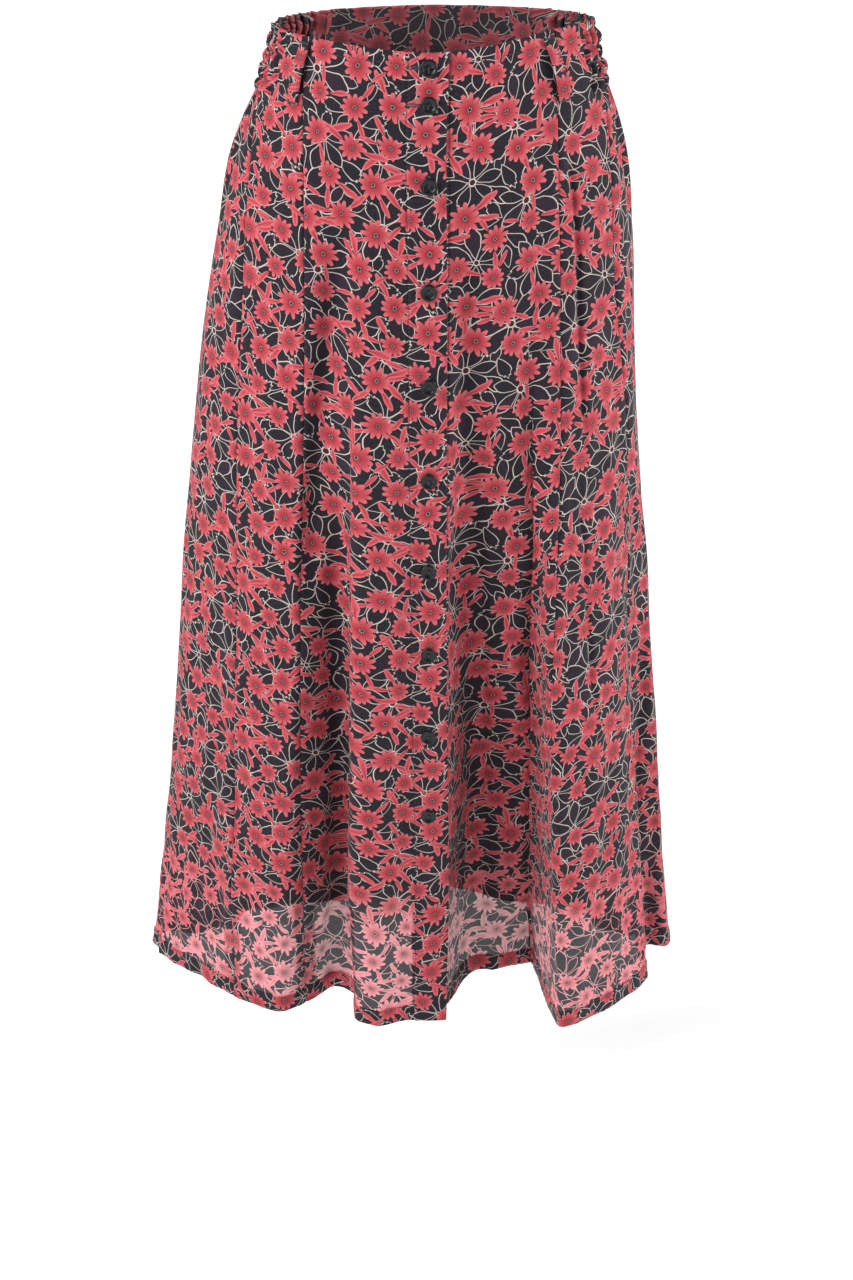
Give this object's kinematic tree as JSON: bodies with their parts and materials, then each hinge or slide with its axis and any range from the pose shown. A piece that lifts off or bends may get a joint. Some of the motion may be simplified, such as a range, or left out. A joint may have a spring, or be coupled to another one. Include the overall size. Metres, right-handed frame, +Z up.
{
  "type": "midi skirt",
  "caption": "Button-front A-line midi skirt in printed viscose, worn: gored panels, shirred sides, belt loops and a lapped front hang in soft folds.",
  "frame": {"origin": "middle of the waist opening, level with the waist edge at the sides", "axes": "+Z up towards the waist; the front faces -Y; +X is the wearer's left"},
  "size_m": [0.4912, 0.2215, 0.8432],
  "materials": {
    "printed_cloth": "thin woven viscose, coral daisies and cream leaf outlines on near-black, soft low sheen",
    "button_black": "black resin, satin"
  },
  "bodies": {
    "root": {"front_centre_right": "printed_cloth", "front_centre_left": "printed_cloth", "front_side_right": "printed_cloth", "front_side_left": "printed_cloth", "back_side_right": "printed_cloth", "back_side_left": "printed_cloth", "back_centre": "printed_cloth", "belt_loop_front_right": "printed_cloth", "belt_loop_front_left": "printed_cloth", "belt_loop_back_right": "printed_cloth", "belt_loop_back_left": "printed_cloth", "button_01": "button_black", "button_02": "button_black", "button_03": "button_black", "button_04": "button_black", "button_05": "button_black", "button_06": "button_black", "button_07": "button_black", "button_08": "button_black", "button_09": "button_black", "button_10": "button_black"}
  },
  "joints": []
}
